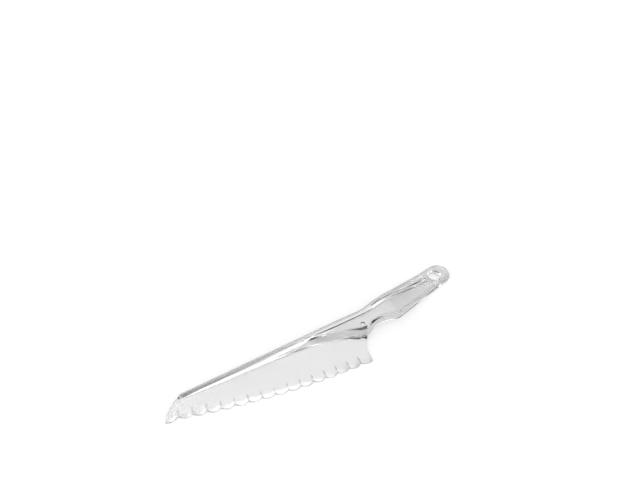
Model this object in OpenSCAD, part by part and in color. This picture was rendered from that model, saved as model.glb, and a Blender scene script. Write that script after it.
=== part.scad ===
// Clear moulded cake knife with a scalloped edge, a raised spine and a hollow-backed handle.
// Millimetres. X runs along the knife from tip to handle end, Y from edge to spine, Z up.
// The flat back lies on Z = 0 and the origin is under the middle of the knife's box.

/* [Blade] */
// Thickness of the blade plate
blade_thickness = 1.6; // [1.2:0.1:2.4]
// Spacing of the scallops along the edge
scallop_pitch = 9.8; // [8.5:0.1:10.5]
// How far each scallop bulges past its notches
scallop_depth = 2.0; // [0.5:0.1:3]
// Radius of the long curve that the notches lie on
belly_radius = 550; // [450:10:900]
// Width of the bevel beside a notch
bevel_width = 3.4; // [2:0.1:4.5]
// Width of the bevel at the middle of a scallop
bevel_middle = 6.0; // [4:0.1:7]
// Thickness left at the edge itself
edge_land = 0.35; // [0.2:0.05:0.8]
// Length of the groove that runs up the face from each notch
groove_length = 6.6; // [5:0.1:8]

/* [Spine ridge] */
// Height of the ridge just behind the tip
ridge_front_height = 4.0; // [3:0.1:5]
// Height of the ridge where it runs into the neck
ridge_rear_height = 7.4; // [6:0.1:8]
// Radius that rounds the top of the back wall
ridge_edge_radius = 1.1; // [0.6:0.1:1.4]

/* [Handle] */
// Height of the handle at the finger bulge
handle_height = 7.8; // [6.5:0.1:9]
// Height of the flat handle end round the hanging hole
handle_end_height = 3.2; // [2.6:0.1:4]
// Place along the knife of the middle of the rounded handle end
handle_reach = 257.7; // [252:0.1:262]
// Radius of the rounded handle end
handle_end_radius = 10.4; // [9.5:0.1:10.8]
// Radius of the finger bulge on the lower side
bulge_radius = 11.6; // [10:0.1:13]
// Radius of the hollow curve from the heel to the bulge
heel_radius = 27.7; // [27:0.1:28.5]
// Sideways step of the back from the blade to the handle
shoulder_rise = 4.0; // [3:0.1:5]
// Wall thickness of the hollow neck and handle
wall = 1.8; // [1.4:0.1:2.2]
// Radius that rounds the handle's upper edges
handle_edge_radius = 2.0; // [1:0.1:2.4]
// Width of the lower side where it leans in beside the hanging hole
lean_width = 4.0; // [3:0.1:4.2]
// Height at which that side starts to lean
lean_foot = 1.2; // [0.8:0.1:1.6]

/* [Hanging hole] */
// Radius of the hanging hole
hole_radius = 5.6; // [4:0.1:6]
// Distance from the centre of the hole to the centre of the rounded end
hole_to_end = 5.8; // [4.5:0.1:7]
// Bevel round both rims of the hole
hole_bevel = 0.4; // [0.2:0.1:0.6]

/* [Gate mark] */
// Radius of the shallow moulding recess in the neck
gate_radius = 2.2; // [1:0.1:3]
// Depth of that recess
gate_depth = 0.5; // [0.2:0.1:0.8]

/* [Hidden] */
$fn = 48;

// The plan is drawn from the point of the tip, then moved so that the box's middle is the origin.
belly_centre = [180.4, 522.6];
heel_centre = [180.4, -27.9];
first_notch_x = 8.6;
least_heel_lobe = 0.3;
pitch_angle = 2 * asin(scallop_pitch / 2 / belly_radius);
first_notch = -asin((belly_centre.x - first_notch_x) / belly_radius);
tip_angle = first_notch - 0.88 * pitch_angle;
heel_angle = -asin((belly_centre.x - heel_centre.x + heel_radius) / belly_radius);
full_lobes = floor((heel_angle - first_notch) / pitch_angle - least_heel_lobe);
last_notch = first_notch + full_lobes * pitch_angle;
tip_drop = 3.2;
heel_drop = 1.7;
part_lobe_bulge = 1.3;

end_centre = [handle_reach, 20.7];
bulge_centre = [195.8, 8.4];
spine_y = 15.8;
shoulder_start = 167;
shoulder_end = 187;
ridge_start = 6;
ridge_full = 17;
ridge_end = 150;
draft = 0.3;

// Smooth curve through knots: a cubic between each pair, with n steps to a pair.
function cubic(a, b, c, d, u) =
    b + u * (c - a) / 2 + u * u * (a - 2.5 * b + 2 * c - d / 2) + u * u * u * (1.5 * (b - c) + (d - a) / 2);
function knot(k, i) = i < 0 ? 2 * k[0] - k[1] : i >= len(k) ? 2 * k[len(k) - 1] - k[len(k) - 2] : k[i];
function curve(k, n) = concat(
    [for (i = [0 : len(k) - 2], j = [0 : n - 1])
        cubic(knot(k, i - 1), knot(k, i), knot(k, i + 1), knot(k, i + 2), j / n)],
    [k[len(k) - 1]]);
function most(k) = [for (i = [0 : len(k) - 2]) k[i]];
function ease(u) = let(v = min(1, max(0, u))) v * v * (3 - 2 * v);
function mix(a, b, u) = a + (b - a) * u;
function polar(c, r, a) = c + r * [cos(a), sin(a)];
function arc(c, r, a, b, n) = [for (i = [0 : n]) polar(c, r, mix(a, b, i / n))];

// Cutting edge: lobes that stand out from the belly circle, set by the angle round its centre.
function at_edge(angle, depth) = belly_centre + (belly_radius + depth) * [sin(angle), -cos(angle)];
function hump(v) = 4 * v * (1 - v);
function tip_depth(v) = tip_drop * (1 - v) + part_lobe_bulge * hump(v);
function heel_depth(v) = heel_drop * v + part_lobe_bulge * hump(v);
// Places in a lobe, as a share of its width: corners of the outline, and stations of the bevel, which
// stand closest beside the notches.
outline_places = [for (i = [0 : 9]) i / 10];
groove_flat = 0.012;
steep_side = 0.04;
gentle_side = 0.1;
bevel_places = concat([groove_flat], [for (i = [0 : 8]) mix(steep_side, 1 - gentle_side, i / 8)],
    [1 - groove_flat]);
edge_points = concat(
    [for (v = outline_places) at_edge(mix(tip_angle, first_notch, v), tip_depth(v))],
    [for (k = [0 : full_lobes - 1], v = outline_places)
        at_edge(first_notch + (k + v) * pitch_angle, scallop_depth * hump(v))],
    [for (v = concat(outline_places, [1])) at_edge(mix(last_notch, heel_angle, v), heel_depth(v))]);
// Width of the bevel across a lobe. It is longest at the notches, where it makes the grooves.
function bevel_at(v) =
    min(v, 1 - v) < steep_side / 2 ? groove_length : mix(bevel_width, bevel_middle, hump(v));
end_bevel = mix(bevel_width, bevel_middle, 0.5);
function tip_bevel(v) = v < 0.5 ? mix(end_bevel, bevel_middle, hump(v)) : bevel_at(v);
tip = edge_points[0];
heel = edge_points[len(edge_points) - 1];

// Heel hollow, finger bulge, lower side of the handle and its end, each tangent to the next.
bulge_gap = heel_radius + bulge_radius;
bulge_turn = acos((bulge_centre.x - heel_centre.x) / bulge_gap);
bulge_middle = polar(heel_centre, bulge_gap, bulge_turn);
to_end = end_centre - bulge_middle;
lower_slope = atan2(to_end.y, to_end.x) + asin((bulge_radius - handle_end_radius) / norm(to_end));
shoulder = [shoulder_end, spine_y + shoulder_rise];
from_shoulder = end_centre - shoulder;
upper_slope = atan2(from_shoulder.y, from_shoulder.x) + asin(handle_end_radius / norm(from_shoulder));
knife_end = end_centre.x + handle_end_radius;

// Tip curve, from the point up to the corner where the back begins.
tip_curve_radius = 33;
tip_corner = [15.2, spine_y];
tip_chord = norm(tip_corner - tip);
tip_chord_angle = atan2(tip_corner.y - tip.y, tip_corner.x - tip.x);
tip_half_angle = asin(tip_chord / 2 / tip_curve_radius);
tip_curve_centre = polar(tip, tip_curve_radius, tip_chord_angle + tip_half_angle - 90);
function tip_y(x) = tip_curve_centre.y + sqrt(pow(tip_curve_radius, 2) - pow(x - tip_curve_centre.x, 2));

// Back of the knife: tip curve, straight spine, rising shoulder, then a line that touches the round end.
function back_y(x) =
    x < tip_corner.x ? tip_y(x)
    : x < shoulder_start ? spine_y
    : x > shoulder_end ? shoulder.y + (x - shoulder_end) * tan(upper_slope)
    : let(u = (x - shoulder_start) / (shoulder_end - shoulder_start))
        spine_y + shoulder_rise * u * u * (3 - 2 * u)
        + (shoulder_end - shoulder_start) * tan(upper_slope) * u * u * (u - 1);
function back_point(x, d) =
    let(slope = atan((back_y(x + 0.5) - back_y(x - 0.5)))) [x + d * sin(slope), back_y(x) - d * cos(slope)];

// Hanging hole on the handle's axis, in a flat land.
handle_axis = (lower_slope + upper_slope) / 2;
hole_centre = polar(end_centre, hole_to_end, handle_axis + 180);
land_start = hole_centre.x - hole_radius - 2.4;

// Height of the raised body above the flat back: up at the front of the ridge, along it, a little more
// at the shoulder, then down in a straight line from the bulge to the land.
function along(x, a, b) = min(1, max(0, (x - a) / (b - a)));
function height(x) =
    mix(blade_thickness, ridge_front_height, ease(along(x, ridge_start, ridge_full)))
    + (ridge_rear_height - ridge_front_height) * along(x, ridge_full, ridge_end)
    + (handle_height - ridge_rear_height) * ease(along(x, shoulder_start, shoulder_end))
    - (handle_height - handle_end_height) * along(x, bulge_middle.x, land_start);

// Lower outline of neck and handle: from a corner angle on the heel curve, round the bulge and along a
// straight side to a round end. d is the distance inside the outer surface.
neck_steps = 16;
bulge_steps = 8;
side_steps = 8;
end_steps = 16;
end_gap = 3;
function near_side(corner, d, centre, radius) =
    let(bulge = bulge_radius - d, to = centre - bulge_middle,
        slope = atan2(to.y, to.x) + asin((bulge - radius) / norm(to)))
    concat(
        arc(heel_centre, heel_radius + d, corner, bulge_turn, neck_steps),
        [for (i = [1 : bulge_steps])
            polar(bulge_middle, bulge, mix(bulge_turn + 180, slope + 270, i / bulge_steps))],
        [for (i = [1 : side_steps - 1])
            mix(polar(bulge_middle, bulge, slope - 90), polar(centre, radius, slope - 90), i / side_steps)],
        arc(centre, radius, slope - 90, handle_axis - end_gap, end_steps));
// Upper outline, one point for each place x of the lower list, then straight to the same round end.
function far_side(x, d, centre, radius) =
    let(start = back_point(x[len(x) - 1], d), to = centre - start,
        slope = atan2(to.y, to.x) + asin(radius / norm(to)))
    concat(
        [for (place = x) back_point(place, d)],
        [for (i = [1 : side_steps - 1]) mix(start, polar(centre, radius, slope + 90), i / side_steps)],
        arc(centre, radius, slope + 90, handle_axis + end_gap, end_steps));

// A row of rings, one ring to a station, closed by flat strips at both ends.
module rings(rows) {
    m = len(rows[0]);
    n = len(rows);
    points = [for (row = rows, p = row) p];
    sides = [for (i = [0 : n - 2], j = [0 : m - 1])
        let(a = i * m + j, b = i * m + (j + 1) % m, c = a + m, d = b + m)
        each [[a, b, d], [a, d, c]]];
    ends = [for (k = [0 : m / 2 - 2])
        let(a = k, b = k + 1, c = m - 2 - k, d = m - 1 - k, s = (n - 1) * m)
        each [[a, c, b], [a, d, c], [s + a, s + b, s + c], [s + a, s + c, s + d]]];
    polyhedron(points, concat(sides, ends), convexity = 8);
}
// One ring: up the near wall from foot to crest, across the top and down the back wall.
function ring(near_foot, near_crest, far_foot, far_crest, near_steps, far_steps) = concat(
    [for (s = near_steps) let(p = mix(near_foot, near_crest, s[0])) [p.x, p.y, s[1]]],
    [for (k = [len(far_steps) - 1 : -1 : 0])
        let(s = far_steps[k], p = mix(far_foot, far_crest, s[0])) [p.x, p.y, s[1]]]);

// Steps up a wall with a little draft and a rounded top edge, as [share of the way in, height].
// Every wall starts under the flat back, which is cut afterwards.
below = -1;
foot_level = blade_thickness - 0.08;
function wall_steps(top, radius) =
    [[0, below], [0.02, foot_level], for (i = [0 : 5]) let(a = 18 * i)
        [(draft + radius * (1 - cos(a))) / (draft + radius), top - radius * (1 - sin(a))]];
// Steps up the slope on the blade, with a soft foot and a soft crest.
slope_shares = [0.1, 0.25, 0.5, 0.75, 0.9, 1];
function slope_steps(top) = [[0, below], [0, foot_level], for (u = slope_shares)
    [u, mix(blade_thickness, top, (u + ease(u)) / 2)]];
// Steps up the lower side beside the hole, where it leans in like a chamfer with a rounded top.
function lean_steps(top) = [[0, below], [0.01, lean_foot], for (u = slope_shares)
    [u, mix(lean_foot, top, sin(90 * u) * 0.5 + u * 0.5)]];
function mix_steps(a, b, u) = [for (i = [0 : len(a) - 1]) mix(a[i], b[i], u)];

// Foot and crest of the slope on the blade. Both end at the corner where the step meets the heel.
foot_corner = 138.5;
crest_corner = 130.5;
corner_radius = 0.6;
corner_rings = 2;
proud = 0.1;
foot_knots = [[12.6, 13.2], [24, 11.8], [60, 9.7], [95, 8.2], [120, 6.2], [142.6, 0.2], [153.5, -6.2],
    polar(heel_centre, heel_radius - proud, foot_corner)];
crest_knots = [[13.9, 13.9], [27, 14.0], [60, 14.0], [95, 13.0], [118, 10.2], [138, 4.6], [150, 0.6],
    polar(heel_centre, heel_radius + draft + corner_radius, crest_corner)];
knot_steps = 7;
blade_count = knot_steps * (len(foot_knots) - 1);

// Radii of the rounded top edges. They grow along the neck, and never use up the whole wall.
function edge_limit(x) = 0.85 * (height(x) - blade_thickness);
function near_radius(i, x) =
    min(edge_limit(x), mix(corner_radius, handle_edge_radius, ease((i - blade_count) / neck_steps * 1.5)));
function far_radius(x) =
    min(edge_limit(x), mix(ridge_edge_radius, handle_edge_radius, ease(along(x, ridge_end, shoulder_end))));

// The lower side leans in more and more from the bulge to the round end, and stands up again round it.
side_count = blade_count + neck_steps + bulge_steps;
function lean(i) = ease(along(i, side_count, side_count + side_steps))
    * (1 - ease(along(i, near_count - end_steps, near_count)));
function inset(i, radius) = mix(draft + radius, lean_width, lean(i));

near_foot = concat(most(curve(foot_knots, knot_steps)),
    near_side(foot_corner, -proud, end_centre, handle_end_radius));
near_base = near_side(crest_corner, 0, end_centre, handle_end_radius);
near_count = blade_count + len(near_base) - 1;
near_unit = near_side(crest_corner, 1, end_centre, handle_end_radius - 1) - near_base;
near_crest = concat(most(curve(crest_knots, knot_steps)),
    [for (i = [0 : len(near_base) - 1])
        near_base[i] + inset(i + blade_count, near_radius(i + blade_count, near_base[i].x)) * near_unit[i]]);
front_x = [for (i = [0 : side_count]) near_crest[i].x];
far_foot = far_side(front_x, 0, end_centre, handle_end_radius);
far_unit = far_side(front_x, 1, end_centre, handle_end_radius - 1) - far_foot;
body_rows = [for (i = [0 : len(near_foot) - 1])
    let(x = near_crest[i].x, top = height(x), far_x = far_foot[i].x, far = far_radius(far_x),
        side = mix_steps(wall_steps(top, near_radius(i, x)), lean_steps(top), lean(i)),
        turned = ease((i - blade_count) / corner_rings))
    ring(near_foot[i], near_crest[i], far_foot[i], far_foot[i] + (draft + far) * far_unit[i],
        mix_steps(slope_steps(top), side, turned), wall_steps(height(far_x), far))];

// Hollow behind the neck and the handle, one wall inside the outer surface. It starts low under the
// ridge, leaves the heel corner solid and runs out, shallower and shallower, at the left of the hole.
hollow_start = 90;
hollow_rise = 45;
hollow_end_radius = 3.4;
hollow_to_hole = 1.8;
hollow_end_share = 0.6;
far_end_turn = -12;
near_end_turn = 32;
near_crest_turn = 20;
near_crest_gap = 3;
inner_radius = 0.8;
hollow_front_height = 0.4;
function beside_hole(turn, gap) =
    polar(hole_centre, hole_radius + hollow_to_hole + hollow_end_radius + gap, handle_axis + 180 + turn);
hollow_near_end = beside_hole(near_end_turn, 0);
hollow_near_crest_end = beside_hole(near_crest_turn, near_crest_gap);
hollow_far_end = beside_hole(far_end_turn, 0);
hollow_draft = draft + inner_radius;
hollow_foot_corner = foot_corner - 14;
hollow_crest_corner = crest_corner - 12;
hollow_foot_knots = [[hollow_start, 11.6], [108, 9.6], [122, 7.8], [143.4, 2.6], [152.8, 0.2],
    polar(heel_centre, heel_radius + wall, hollow_foot_corner)];
hollow_crest_knots = [[hollow_start + 1, 12.4], [108.5, 11.8], [122, 10.3], [139.5, 6.2], [150, 3.6],
    polar(heel_centre, heel_radius + wall + hollow_draft, hollow_crest_corner)];
hollow_count = knot_steps * (len(hollow_foot_knots) - 1);
hollow_edge = concat(most(curve(hollow_foot_knots, knot_steps)),
    near_side(hollow_foot_corner, wall, hollow_near_end, hollow_end_radius));
hollow_crest = concat(most(curve(hollow_crest_knots, knot_steps)),
    near_side(hollow_crest_corner, wall + hollow_draft, hollow_near_crest_end,
        hollow_end_radius - hollow_draft));
hollow_side = hollow_count + neck_steps + bulge_steps;
hollow_x = [for (i = [0 : hollow_side]) hollow_crest[i].x];
hollow_far_foot = far_side(hollow_x, wall, hollow_far_end, hollow_end_radius);
hollow_far_crest = far_side(hollow_x, wall + hollow_draft, hollow_far_end, hollow_end_radius - hollow_draft);
hollow_foot = 0.2;
function hollow_wall(top, radius) =
    [[0, 2 * below], [0.02, hollow_foot], for (i = [0 : 3]) let(a = 30 * i)
        [(draft + radius * (1 - cos(a))) / (draft + radius), top - radius * (1 - sin(a))]];
function hollow_slope(top) = [[0, 2 * below], [0, hollow_foot], for (u = [0.25, 0.5, 0.8, 1])
    [u, mix(hollow_foot, top, (u + ease(u)) / 2)]];
hollow_rows = [for (i = [0 : len(hollow_edge) - 1])
    let(x = hollow_crest[i].x,
        share = ease(along(x, hollow_start, hollow_start + hollow_rise))
            * mix(1, hollow_end_share, along(x, bulge_middle.x, land_start)),
        top = max(hollow_front_height, (height(x) - wall) * share),
        radius = min(inner_radius, top / 2),
        upright = ease((i - hollow_count) / corner_rings) * (1 - ease((i - hollow_side) / side_steps)))
    ring(hollow_edge[i], hollow_crest[i], hollow_far_foot[i], hollow_far_crest[i],
        mix_steps(hollow_slope(top), hollow_wall(top, radius), upright), hollow_wall(top, radius))];

margin = 10;
// Blade plate with its scalloped outline. Where the raised body stands, it ends inside that body.
overlap = 0.7;
plate_front = 20;
plate_rear = 168;
plate_rear_foot = 4;
plate_rear_gap = 2;
plate_corner = 160;
module blade_plate() {
    translate([0, 0, below / 2]) linear_extrude(blade_thickness - below / 2) polygon(concat(
        edge_points,
        arc(heel_centre, heel_radius, 179, foot_corner - 0.4, 10),
        [polar(heel_centre, heel_radius + 1.5, crest_corner + 2), [plate_rear, plate_rear_foot],
            [plate_rear, spine_y - plate_rear_gap], [plate_corner, spine_y - overlap],
            [plate_front, spine_y - overlap],
            [front_x[0] + overlap, tip_y(front_x[0]) - overlap]],
        [for (i = [0 : 9]) let(x = mix(front_x[0] - 0.2, tip.x + 0.3, i / 9 * (2 - i / 9))) [x, tip_y(x)]]));
}

// Bevel cut along the edge, with a groove rising from each notch until it runs out of the face.
module edge_bevel() {
    stations = concat(
        [[tip_angle - pitch_angle / 2, tip_drop + 0.5, end_bevel]],
        [for (v = bevel_places) [mix(tip_angle, first_notch, v), tip_depth(v), tip_bevel(v)]],
        [for (k = [0 : full_lobes - 1], v = bevel_places)
            [first_notch + (k + v) * pitch_angle, scallop_depth * hump(v), bevel_at(v)]],
        [for (v = bevel_places) [mix(last_notch, heel_angle, v), heel_depth(v), tip_bevel(1 - v)]],
        [[heel_angle + pitch_angle / 3, heel_drop + 0.4, end_bevel]]);
    rings([for (e = stations) let(
        rise = (blade_thickness - edge_land) / e[2],
        out = at_edge(e[0], e[1] + 1), in = at_edge(e[0], e[1] - e[2] - 0.5))
        [[out.x, out.y, edge_land - rise], [out.x, out.y, blade_thickness + 2],
            [in.x, in.y, blade_thickness + 2], [in.x, in.y, blade_thickness + 0.5 * rise]]]);
}

// Hanging hole with a bevelled rim on both faces.
module hanging_hole() {
    translate([hole_centre.x, hole_centre.y, 0]) {
        translate([0, 0, below]) cylinder(r = hole_radius, h = 12);
        translate([0, 0, handle_end_height - hole_bevel])
            cylinder(r1 = hole_radius, r2 = hole_radius + 3 * hole_bevel, h = 3 * hole_bevel);
        translate([0, 0, -2 * hole_bevel])
            cylinder(r1 = hole_radius + 3 * hole_bevel, r2 = hole_radius, h = 3 * hole_bevel);
    }
}

// Shallow round recess left by the moulding gate.
gate_centre = [162.7, 0.8];
module gate_mark() {
    translate([gate_centre.x, gate_centre.y, height(gate_centre.x) - gate_depth])
        cylinder(r1 = gate_radius - gate_depth, r2 = gate_radius + gate_depth, h = 2 * gate_depth);
}

edge_lowest = min([for (p = edge_points) p.y]);
back_highest = end_centre.y + handle_end_radius * cos(upper_slope);
middle = [(tip.x + knife_end) / 2, (edge_lowest + back_highest) / 2];
module cake_knife() {
    color([0.93, 0.95, 0.96, 0.45]) translate([-middle.x, -middle.y, 0]) difference() {
        union() {
            difference() {
                blade_plate();
                edge_bevel();
            }
            rings(body_rows);
        }
        rings(hollow_rows);
        translate([tip.x - margin, edge_lowest - margin, 4 * below])
            cube([knife_end - tip.x + 2 * margin, back_highest - edge_lowest + 2 * margin, -4 * below]);
        hanging_hole();
        gate_mark();
    }
}

cake_knife();
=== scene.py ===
"""Clear moulded cake knife on a pale table, built on its CAD frame."""
import math

import bmesh
import bpy
from bpy.props import FloatProperty, FloatVectorProperty, PointerProperty
from bpy.types import NodeSocket, Operator, Panel, PropertyGroup
from mathutils import Matrix, Vector
from mathutils.bvhtree import BVHTree


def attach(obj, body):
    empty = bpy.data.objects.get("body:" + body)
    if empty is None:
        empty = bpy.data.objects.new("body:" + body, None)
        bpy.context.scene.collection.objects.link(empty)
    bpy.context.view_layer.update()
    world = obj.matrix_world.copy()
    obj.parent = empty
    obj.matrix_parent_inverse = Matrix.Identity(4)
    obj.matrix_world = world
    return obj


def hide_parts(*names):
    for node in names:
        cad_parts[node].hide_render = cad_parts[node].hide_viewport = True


bl_info = {
    "name": "Cake Knife",
    "version": (1, 0, 0),
    "blender": (4, 5, 0),
    "location": "3D View > Sidebar > Cake Knife",
    "description": "Clear moulded cake knife with a scalloped edge on a pale table",
    "category": "Object",
}

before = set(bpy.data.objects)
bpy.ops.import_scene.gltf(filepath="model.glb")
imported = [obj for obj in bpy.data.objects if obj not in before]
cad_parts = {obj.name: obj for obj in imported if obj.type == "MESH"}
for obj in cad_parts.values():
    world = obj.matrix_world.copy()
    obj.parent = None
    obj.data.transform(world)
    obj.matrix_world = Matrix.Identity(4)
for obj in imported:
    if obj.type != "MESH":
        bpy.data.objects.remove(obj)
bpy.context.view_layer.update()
KNIFE_NODE = "cake_knife"

# Limits within which the CAD mesh is welded and its flat faces are joined.
WELD_DISTANCE = 2e-6
FLAT_ANGLE = math.radians(0.4)
RIM_SEGMENTS = 2
# Bend from which an edge stays crisp in the smooth shading.
CREASE_ANGLE = math.radians(35)

# Fine moulded grooves on the flat upper face, as points along each groove in millimetres: one
# follows the crest from the ridge through the neck to the hanging hole, one runs beside it on
# the handle.
GROOVES = (
    ((-18, 10.4), (-4, 9.2), (10, 8.7), (34, 8.7), (46, 10.0), (56, 12.0), (82, 13.4), (108, 14.9)),
    ((46, 13.2), (56, 15.2), (82, 16.7), (109, 18.3)),
)
MILLIMETRES = 1000
# A groove's cutter finds the face's height at each of these steps, and stands out of the face by
# this lift.
GROOVE_STEP = 0.002
GROOVE_LIFT = 0.0002
LOOKOUT_HEIGHT = 1
DOWN = Vector((0, 0, -1))
# Material slots that tell the grooves' faces from the rest until the knife gets its plastic.
OWN_FACES = 0
GROOVE_FACES = 1

# Noise in the plastic: scale, detail and stretch along the knife's axes.
CLOUDS = (18.0, 3.0, (1, 1, 1))
HAZE = (35.0, 4.0, (1, 1, 1))
SCRATCHES = (50.0, 2.0, (0.6, 30.0, 30.0))
RIPPLES = (60.0, 1.0, (0.6, 1.0, 1.0))
# Spans of that noise over which each effect comes in.
CLOUD_SPAN = (0.3, 0.7)
HAZE_SPAN = (0.35, 0.75)
SCRATCH_SPAN = (0.62, 0.72)
# Least and most haze, as shares of the polished faces' roughness.
HAZE_SHARES = (0.7, 1.8)
# Heights above the knife's back between which the painted shade comes in: a darker base colour on
# the raised handle that stands in for the shade on the table under it.
PAINTED_SHADE_SPAN = (0.0018, 0.0034)

# Soft lights in the room, as gloss and the clear plastic show them: height above the table, turn
# to the right of the far side and size, all in degrees, and strength.
SOFT_LIGHTS = (
    (88, 0, 22, 1.2),
    (74, 8, 13, 7.0),
    (68, 315, 22, 1.1),
    (68, 225, 22, 0.5),
    (51, 350, 21, 1.85),
    (36, 22, 22, 0.75),
    (36, 112.5, 22, 0.95),
    (36, 157.5, 22, 0.9),
    (20, 135, 22, 2.1),
    (4, 45, 22, 2.0),
)
# Share of a soft light's size within which it is at its full strength.
LIGHT_CORE = 0.27

# Drop of the table below the knife's back, so that the two faces never coincide.
TABLE_DROP = 0.00002
TABLE_ROUGHNESS = 0.9
SENSOR_WIDTH = 36
NEAREST_VIEW = 0.01

# A Mix node's sockets for its first value, its second value and its result, by kind of value.
MIX_SOCKETS = {"FLOAT": (2, 3, 0), "RGBA": (6, 7, 2)}


class KnifeSettings(PropertyGroup):
    """Sizes and finish of the knife's clear plastic"""

    rim_radius: FloatProperty(
        name="Rim radius", description="Radius that softens the knife's sharp rims",
        default=0.00014, min=0.00002, max=0.0004, precision=5, unit="LENGTH")
    sharp_angle: FloatProperty(
        name="Sharp angle", description="Angle between faces from which an edge counts as a rim",
        default=math.radians(24), subtype="ANGLE")
    tint: FloatVectorProperty(
        name="Tint", description="Colour of the clear plastic",
        default=(0.995, 0.995, 0.995), size=3, min=0, max=1, subtype="COLOR")
    # Painted shade: a darker colour where the body stands high, standing in for the shade under the
    # raised handle.
    painted_shade_tint: FloatVectorProperty(
        name="Painted shade tint", description="Colour of the plastic where the body stands high",
        default=(0.88, 0.88, 0.88), size=3, min=0, max=1, subtype="COLOR")
    cloud_tone: FloatProperty(
        name="Cloud tone",
        description="Brightness of the faint clouds in the plastic beside clear plastic",
        default=0.975, min=0.8, max=1)
    gloss_roughness: FloatProperty(
        name="Roughness", description="Roughness of the polished faces",
        default=0.03, min=0, max=1)
    refraction: FloatProperty(
        name="Index of refraction", description="How strongly the plastic bends light",
        default=1.59, min=1, max=2)
    scratch_roughness: FloatProperty(
        name="Scratch roughness",
        description="Extra roughness in the fine scratches along the knife",
        default=0.05, min=0, max=0.5)
    groove_width: FloatProperty(
        name="Groove width", description="Width of each fine groove from its middle to its rim",
        default=0.0006, min=0.0002, max=0.002, precision=5, unit="LENGTH")
    groove_depth: FloatProperty(
        name="Groove depth", description="Depth of the fine grooves",
        default=0.0005, min=0.00005, max=0.0008, precision=6, unit="LENGTH")
    waviness: FloatProperty(
        name="Waviness", description="Height of the faint ripples left by the mould",
        default=0.00003, min=0, max=0.0005, precision=6, unit="LENGTH")


class StageSettings(PropertyGroup):
    """Camera, table and light"""

    camera_height: FloatProperty(
        name="Camera height", description="Height of the camera above the table",
        default=0.3311, unit="LENGTH")
    camera_x: FloatProperty(
        name="Camera X", description="Place of the camera along the knife",
        default=-0.14947, unit="LENGTH")
    camera_y: FloatProperty(
        name="Camera Y", description="Place of the camera in front of the knife",
        default=-0.23395, unit="LENGTH")
    camera_turn: FloatProperty(
        name="Camera turn", description="Turn of the camera about the upright axis",
        default=math.radians(-30.665), subtype="ANGLE")
    camera_pitch: FloatProperty(
        name="Camera pitch", description="Angle between the view and straight down",
        default=math.radians(50.9), subtype="ANGLE")
    lens: FloatProperty(
        name="Lens", description="Focal length on a sensor 36 mm wide",
        default=30.375, min=10, max=200)
    table_colour: FloatVectorProperty(
        name="Table colour", description="Colour of the pale table",
        default=(0.9, 0.9, 0.9), size=3, min=0, max=1, subtype="COLOR")
    table_size: FloatProperty(
        name="Table size", description="Length of the table's side",
        default=8.0, unit="LENGTH")
    surround: FloatProperty(
        name="Surround light", description="Strength of the even light on the table",
        default=1.13, min=0)
    room: FloatProperty(
        name="Room", description="Strength of the room between the soft lights, as gloss shows it",
        default=0.24, min=0)
    soft_lights: FloatProperty(
        name="Soft lights",
        description="Strength of all the soft lights together, as gloss shows them",
        default=1.0, min=0)
    light_size: FloatProperty(
        name="Light size", description="Size of all the soft lights together",
        default=1.0, min=0.5, max=2)
    table_glow: FloatProperty(
        name="Table glow", description="Share of plain white in the table as it is seen",
        default=0.3, min=0, max=1)
    glow_strength: FloatProperty(
        name="Glow strength", description="Strength of the plain white in the table",
        default=1.08, min=0)


def node_input(node, name, value):
    """Set a node's named socket."""
    node.inputs[name].default_value = value


def feed(links, socket, value):
    """Link a socket to another one, or set it to a plain value."""
    if isinstance(value, NodeSocket):
        links.new(value, socket)
    else:
        socket.default_value = value


def math_node(nodes, links, operation, first, second):
    """One sum on two sockets or numbers."""
    node = nodes.new("ShaderNodeMath")
    node.operation = operation
    for socket, value in zip(node.inputs, (first, second)):
        feed(links, socket, value)
    return node.outputs[0]


def mix_node(nodes, links, kind, share, first, second):
    """The first value and the second one mixed by share, as sockets or plain values."""
    node = nodes.new("ShaderNodeMix")
    node.data_type = kind
    start, end, result = MIX_SOCKETS[kind]
    for index, value in ((0, share), (start, first), (end, second)):
        feed(links, node.inputs[index], value)
    return node.outputs[result]


def noise(nodes, links, place, scale, detail, stretch):
    """Noise over the object's own coordinates, stretched along its axes."""
    mapping = nodes.new("ShaderNodeMapping")
    node_input(mapping, "Scale", stretch)
    links.new(place, mapping.inputs["Vector"])
    field = nodes.new("ShaderNodeTexNoise")
    node_input(field, "Scale", scale)
    node_input(field, "Detail", detail)
    links.new(mapping.outputs["Vector"], field.inputs["Vector"])
    return field.outputs["Fac"]


def remap(nodes, links, value, span, result=(0.0, 1.0)):
    """The value over its span, taken to the result's span."""
    node = nodes.new("ShaderNodeMapRange")
    for name, number in zip(("From Min", "From Max", "To Min", "To Max"), (*span, *result)):
        node_input(node, name, number)
    links.new(value, node.inputs["Value"])
    return node.outputs["Result"]


def plastic_colour(nodes, links, place, settings):
    """Clear plastic with faint clouds, and painted shade: darker where the body stands high, for
    the shade under the raised handle.
    """
    clouds = remap(nodes, links, noise(nodes, links, place, *CLOUDS), CLOUD_SPAN)
    cloud_tint = [channel * settings.cloud_tone for channel in settings.tint]
    tone = mix_node(nodes, links, "RGBA", clouds, (*settings.tint, 1), (*cloud_tint, 1))
    height = nodes.new("ShaderNodeSeparateXYZ")
    links.new(place, height.inputs["Vector"])
    # Painted shade: the base colour is darkened by height, for the shade under the raised handle.
    painted_shade_share = remap(nodes, links, height.outputs["Z"], PAINTED_SHADE_SPAN)
    return mix_node(nodes, links, "RGBA", painted_shade_share, tone, (*settings.painted_shade_tint, 1))


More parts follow.
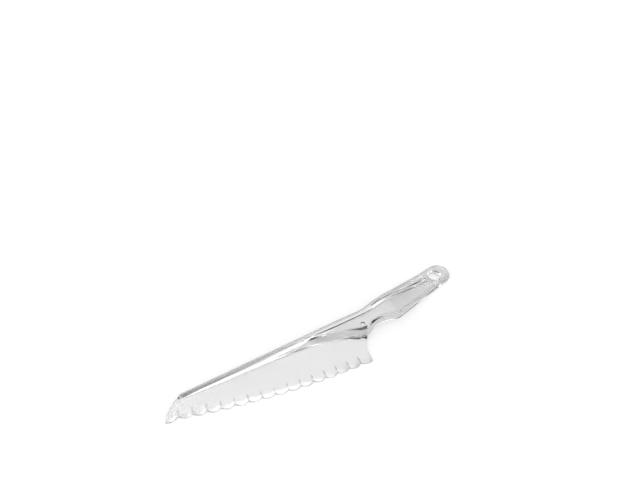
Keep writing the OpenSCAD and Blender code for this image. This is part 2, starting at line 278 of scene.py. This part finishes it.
def clear_plastic(settings):
    """Clear polystyrene: polished, faintly rippled by the mould, hazy and finely scratched."""
    material = bpy.data.materials.new("clear_polystyrene")
    material.use_nodes = True
    nodes = material.node_tree.nodes
    links = material.node_tree.links
    shader = nodes["Principled BSDF"]
    place = nodes.new("ShaderNodeTexCoord").outputs["Object"]
    node_input(shader, "Transmission Weight", 1.0)
    node_input(shader, "IOR", settings.refraction)
    links.new(plastic_colour(nodes, links, place, settings), shader.inputs["Base Color"])

    haze = remap(
        nodes, links, noise(nodes, links, place, *HAZE), HAZE_SPAN,
        [settings.gloss_roughness * share for share in HAZE_SHARES])
    scratches = remap(
        nodes, links, noise(nodes, links, place, *SCRATCHES), SCRATCH_SPAN,
        (0.0, settings.scratch_roughness))
    links.new(math_node(nodes, links, "ADD", haze, scratches), shader.inputs["Roughness"])

    bump = nodes.new("ShaderNodeBump")
    node_input(bump, "Distance", settings.waviness)
    links.new(noise(nodes, links, place, *RIPPLES), bump.inputs["Height"])
    links.new(bump.outputs["Normal"], shader.inputs["Normal"])
    return material


def soften_rims(mesh, settings):
    """Weld the mesh, join its flat faces and round its sharp edges a little."""
    form = bmesh.new()
    form.from_mesh(mesh)
    bmesh.ops.remove_doubles(form, verts=form.verts, dist=WELD_DISTANCE)
    bmesh.ops.dissolve_limit(form, angle_limit=FLAT_ANGLE, verts=form.verts, edges=form.edges)
    rims = [edge for edge in form.edges
            if edge.is_manifold and edge.calc_face_angle() > settings.sharp_angle]
    bmesh.ops.bevel(
        form, geom=rims, offset=settings.rim_radius, offset_type="OFFSET", segments=RIM_SEGMENTS,
        profile=0.5, affect="EDGES", clamp_overlap=True, loop_slide=True, material=-1)
    form.to_mesh(mesh)
    form.free()


def groove_path(points):
    """The groove's points in metres, with steps between them that can follow a sloping face."""
    corners = [Vector(point) / MILLIMETRES for point in points]
    path = [corners[0]]
    for start, end in zip(corners, corners[1:]):
        steps = math.ceil((end - start).length / GROOVE_STEP)
        path.extend(start.lerp(end, step / steps) for step in range(1, steps + 1))
    return path


def groove_cutter(surface, points, settings):
    """A closed bar with a V-shaped foot that follows the points, sunk into the face below it."""
    form = bmesh.new()
    path = groove_path(points)
    spread = settings.groove_width * (1 + GROOVE_LIFT / settings.groove_depth)
    profile = ((-1, GROOVE_LIFT), (0, -settings.groove_depth), (1, GROOVE_LIFT))
    rows = []
    for index, point in enumerate(path):
        before = path[max(index - 1, 0)]
        after = path[min(index + 1, len(path) - 1)]
        side = (after - before).orthogonal().normalized()
        height = surface.ray_cast(Vector((*point, LOOKOUT_HEIGHT)), DOWN)[0].z
        rows.append([form.verts.new((*(point + side * spread * across), height + up))
                     for across, up in profile])
    for row, after in zip(rows, rows[1:]):
        for corner in range(len(profile)):
            side = (corner + 1) % len(profile)
            form.faces.new((row[corner], row[side], after[side], after[corner]))
    form.faces.new(rows[0])
    form.faces.new(rows[-1])
    bmesh.ops.recalc_face_normals(form, faces=form.faces)
    mesh = bpy.data.meshes.new("groove_cutter")
    form.to_mesh(mesh)
    form.free()
    return mesh


def mark_slots(mesh):
    """Empty material slots for the knife's own faces and for the grooves' faces."""
    mesh.materials.clear()
    for _ in (OWN_FACES, GROOVE_FACES):
        mesh.materials.append(None)


def cut_grooves(context, mesh, settings):
    """The knife's mesh with the fine grooves cut into it, their faces in a slot of their own."""
    mark_slots(mesh)
    knife = bpy.data.objects.new("grooved", mesh)
    context.scene.collection.objects.link(knife)
    surface = BVHTree.FromPolygons(
        [vertex.co for vertex in mesh.vertices], [face.vertices for face in mesh.polygons])
    for points in GROOVES:
        cutter_mesh = groove_cutter(surface, points, settings)
        mark_slots(cutter_mesh)
        for face in cutter_mesh.polygons:
            face.material_index = GROOVE_FACES
        cutter = bpy.data.objects.new("groove_cutter", cutter_mesh)
        context.scene.collection.objects.link(cutter)
        cut = knife.modifiers.new("groove", "BOOLEAN")
        cut.operation = "DIFFERENCE"
        cut.solver = "EXACT"
        cut.object = cutter
    graph = context.evaluated_depsgraph_get()
    grooved = bpy.data.meshes.new_from_object(knife.evaluated_get(graph))
    for cut in knife.modifiers:
        bpy.data.objects.remove(cut.object)
    bpy.data.objects.remove(knife)
    return grooved


def shade(mesh):
    """Smooth shading with crisp creases and crisp groove edges."""
    mesh.shade_smooth()
    mesh.set_sharp_from_angle(angle=CREASE_ANGLE)
    groove_edges = set()
    for face in mesh.polygons:
        if face.material_index == GROOVE_FACES:
            groove_edges.update(face.edge_keys)
            face.material_index = OWN_FACES
    for edge in mesh.edges:
        if edge.key in groove_edges:
            edge.use_edge_sharp = True


class KNIFE_OT_make_knife(Operator):
    """Make the knife in one clear piece, with soft rims, in place of its plain solid"""

    bl_idname = "knife.make_knife"
    bl_label = "Make knife"

    def execute(self, context):
        settings = context.scene.knife_settings
        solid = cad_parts[KNIFE_NODE]
        mesh = solid.data.copy()
        soften_rims(mesh, settings)
        mesh = cut_grooves(context, mesh, settings)
        mesh.name = "clear_knife"
        shade(mesh)
        mesh.materials.clear()
        mesh.materials.append(clear_plastic(settings))
        knife = bpy.data.objects.new("clear_knife", mesh)
        context.scene.collection.objects.link(knife)
        flat_faces = knife.modifiers.new("flat_faces", "WEIGHTED_NORMAL")
        flat_faces.weight = 100
        flat_faces.keep_sharp = True
        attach(knife, "root")
        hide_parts(KNIFE_NODE)
        return {"FINISHED"}


def seen_rays(nodes, links):
    """The share of rays straight from the camera, and of those by way of gloss or plastic."""
    path = nodes.new("ShaderNodeLightPath")
    gloss = math_node(
        nodes, links, "MAXIMUM",
        path.outputs["Is Glossy Ray"], path.outputs["Is Transmission Ray"])
    return path.outputs["Is Camera Ray"], gloss


def light_direction(height, side, settings):
    """The way to a light at this height and turn, in degrees, as the camera stands."""
    up = math.radians(height)
    turn = math.radians(side) - settings.camera_turn
    return Vector((math.cos(up) * math.sin(turn), math.cos(up) * math.cos(turn), math.sin(up)))


def soft_light(nodes, links, place, direction, size, strength):
    """A round soft light in the room: full in its middle, gone at its size."""
    aim = nodes.new("ShaderNodeVectorMath")
    aim.operation = "DOT_PRODUCT"
    aim.inputs[1].default_value = direction
    links.new(place, aim.inputs[0])
    fade = nodes.new("ShaderNodeMapRange")
    fade.interpolation_type = "SMOOTHSTEP"
    node_input(fade, "From Min", math.cos(size))
    node_input(fade, "From Max", math.cos(size * LIGHT_CORE))
    node_input(fade, "To Max", strength)
    links.new(aim.outputs["Value"], fade.inputs["Value"])
    return fade.outputs["Result"]


def light_room(tree, settings):
    """White to the camera, an even light on the table, and soft lights in a dim room for gloss."""
    nodes = tree.nodes
    links = tree.links
    place = nodes.new("ShaderNodeTexCoord").outputs["Generated"]
    camera, gloss = seen_rays(nodes, links)
    room = settings.room
    for height, side, size, strength in SOFT_LIGHTS:
        light = soft_light(
            nodes, links, place, light_direction(height, side, settings),
            math.radians(size) * settings.light_size, strength * settings.soft_lights)
        room = math_node(nodes, links, "ADD", light, room)
    background = nodes["Background"]
    node_input(background, "Color", (1, 1, 1, 1))
    strength = mix_node(nodes, links, "FLOAT", gloss, settings.surround, room)
    strength = mix_node(nodes, links, "FLOAT", camera, strength, 1.0)
    links.new(strength, background.inputs["Strength"])


def pale_table(settings):
    """A matt pale material with a share of plain white where it is seen."""
    material = bpy.data.materials.new("pale_table")
    material.use_nodes = True
    nodes = material.node_tree.nodes
    links = material.node_tree.links
    shader = nodes["Principled BSDF"]
    node_input(shader, "Base Color", (*settings.table_colour, 1))
    node_input(shader, "Roughness", TABLE_ROUGHNESS)
    node_input(shader, "Specular IOR Level", 0.0)
    seen = math_node(nodes, links, "MAXIMUM", *seen_rays(nodes, links))
    white = nodes.new("ShaderNodeEmission")
    node_input(white, "Strength", settings.glow_strength)
    blend = nodes.new("ShaderNodeMixShader")
    glow = math_node(nodes, links, "MULTIPLY", seen, settings.table_glow)
    for socket, value in zip(blend.inputs, (glow, shader.outputs[0], white.outputs[0])):
        links.new(value, socket)
    links.new(blend.outputs[0], nodes["Material Output"].inputs["Surface"])
    return material


def add_table(scene, settings):
    """The flat table under the knife."""
    form = bmesh.new()
    bmesh.ops.create_grid(form, x_segments=1, y_segments=1, size=settings.table_size / 2)
    mesh = bpy.data.meshes.new("table")
    form.to_mesh(mesh)
    form.free()
    mesh.transform(Matrix.Translation((0, 0, -TABLE_DROP)))
    mesh.materials.append(pale_table(settings))
    table = bpy.data.objects.new("table", mesh)
    scene.collection.objects.link(table)


def add_camera(scene, settings):
    """The camera at the photograph's viewing angle."""
    view = bpy.data.cameras.new("camera")
    view.lens = settings.lens
    view.sensor_width = SENSOR_WIDTH
    view.clip_start = NEAREST_VIEW
    camera = bpy.data.objects.new("camera", view)
    camera.location = (settings.camera_x, settings.camera_y, settings.camera_height)
    camera.rotation_euler = (settings.camera_pitch, 0, settings.camera_turn)
    scene.collection.objects.link(camera)
    scene.camera = camera


class KNIFE_OT_make_stage(Operator):
    """Make the table, the light and the camera"""

    bl_idname = "knife.make_stage"
    bl_label = "Make stage"

    def execute(self, context):
        scene = context.scene
        settings = scene.stage_settings
        add_table(scene, settings)
        world = bpy.data.worlds.new("studio")
        world.use_nodes = True
        scene.world = world
        light_room(world.node_tree, settings)
        add_camera(scene, settings)
        scene.view_settings.view_transform = "Standard"
        return {"FINISHED"}


class KNIFE_PT_panel(Panel):
    """Buttons and sizes of the cake knife"""

    bl_label = "Cake Knife"
    bl_idname = "KNIFE_PT_panel"
    bl_space_type = "VIEW_3D"
    bl_region_type = "UI"
    bl_category = "Cake Knife"

    def draw(self, context):
        layout = self.layout
        for settings in (context.scene.knife_settings, context.scene.stage_settings):
            for name in settings.__annotations__:
                layout.prop(settings, name)
        layout.operator(KNIFE_OT_make_knife.bl_idname)
        layout.operator(KNIFE_OT_make_stage.bl_idname)


CLASSES = (KnifeSettings, StageSettings, KNIFE_OT_make_knife, KNIFE_OT_make_stage, KNIFE_PT_panel)


def register():
    for part in CLASSES:
        bpy.utils.register_class(part)
    bpy.types.Scene.knife_settings = PointerProperty(type=KnifeSettings)
    bpy.types.Scene.stage_settings = PointerProperty(type=StageSettings)


def unregister():
    del bpy.types.Scene.stage_settings
    del bpy.types.Scene.knife_settings
    for part in reversed(CLASSES):
        bpy.utils.unregister_class(part)


def main():
    register()
    bpy.ops.knife.make_knife()
    bpy.ops.knife.make_stage()


if __name__ == "__main__":
    main()
